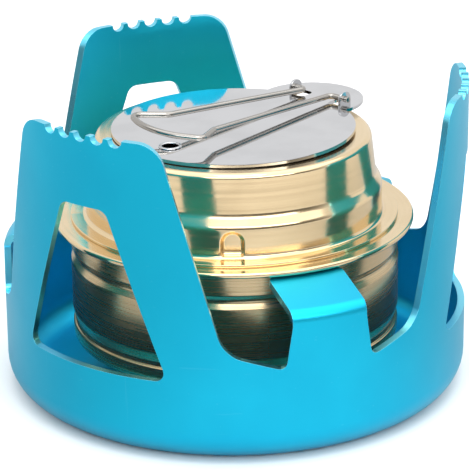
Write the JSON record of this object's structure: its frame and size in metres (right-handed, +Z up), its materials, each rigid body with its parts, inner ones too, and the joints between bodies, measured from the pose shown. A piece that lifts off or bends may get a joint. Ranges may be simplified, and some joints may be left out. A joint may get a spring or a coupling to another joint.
{
  "type": "spirit stove",
  "caption": "Pot stand bent from one sheet with toothed windowed arms, holding a brass spirit burner under a regulator ring with a swinging cover plate and wire handle.",
  "frame": {"origin": "centre of the stand's flat floor, on its underside", "axes": "+Z up along the stand's axis; +X through the middle of one arm"},
  "size_m": [0.098, 0.098, 0.0666],
  "materials": {
    "anodised_blue": "satin sky-blue anodising",
    "brass_satin": "drawn and lightly brushed",
    "brass_polished": "polished",
    "steel_polished": "mirror polished stainless sheet",
    "steel_wire": "bright drawn wire",
    "felt": "mineral felt"
  },
  "bodies": {
    "stand": {"pot_stand": "anodised_blue"},
    "burner": {"burner_cup": "brass_satin", "burner_top": "brass_satin", "fuel_well": "brass_satin", "wick_ring": "felt"},
    "regulator": {"regulator_ring": "brass_polished", "pivot_rivet": "steel_polished"},
    "cover": {"cover_plate": "steel_polished"},
    "handle": {"wire_handle": "steel_wire"}
  },
  "joints": [
    {"name": "burner_lift", "type": "slide", "parent": "stand", "child": "burner", "axis": [0, 0, 1], "range_m": [0, 0.06]},
    {"name": "ring_lift", "type": "slide", "parent": "burner", "child": "regulator", "axis": [0, 0, 1], "range_m": [0, 0.04]},
    {"name": "plate_swing", "type": "hinge", "parent": "regulator", "child": "cover", "pos_m": [-0.01105, -0.01521, 0.05485], "axis": [-0.0062, -0.0085, 0.9999], "range_deg": [-50, 50]},
    {"name": "handle_fold", "type": "hinge", "parent": "cover", "child": "handle", "pos_m": [0.01509, 0.02077, 0.05717], "axis": [-0.809, 0.5878, 0], "range_deg": [-2, 130]}
  ]
}
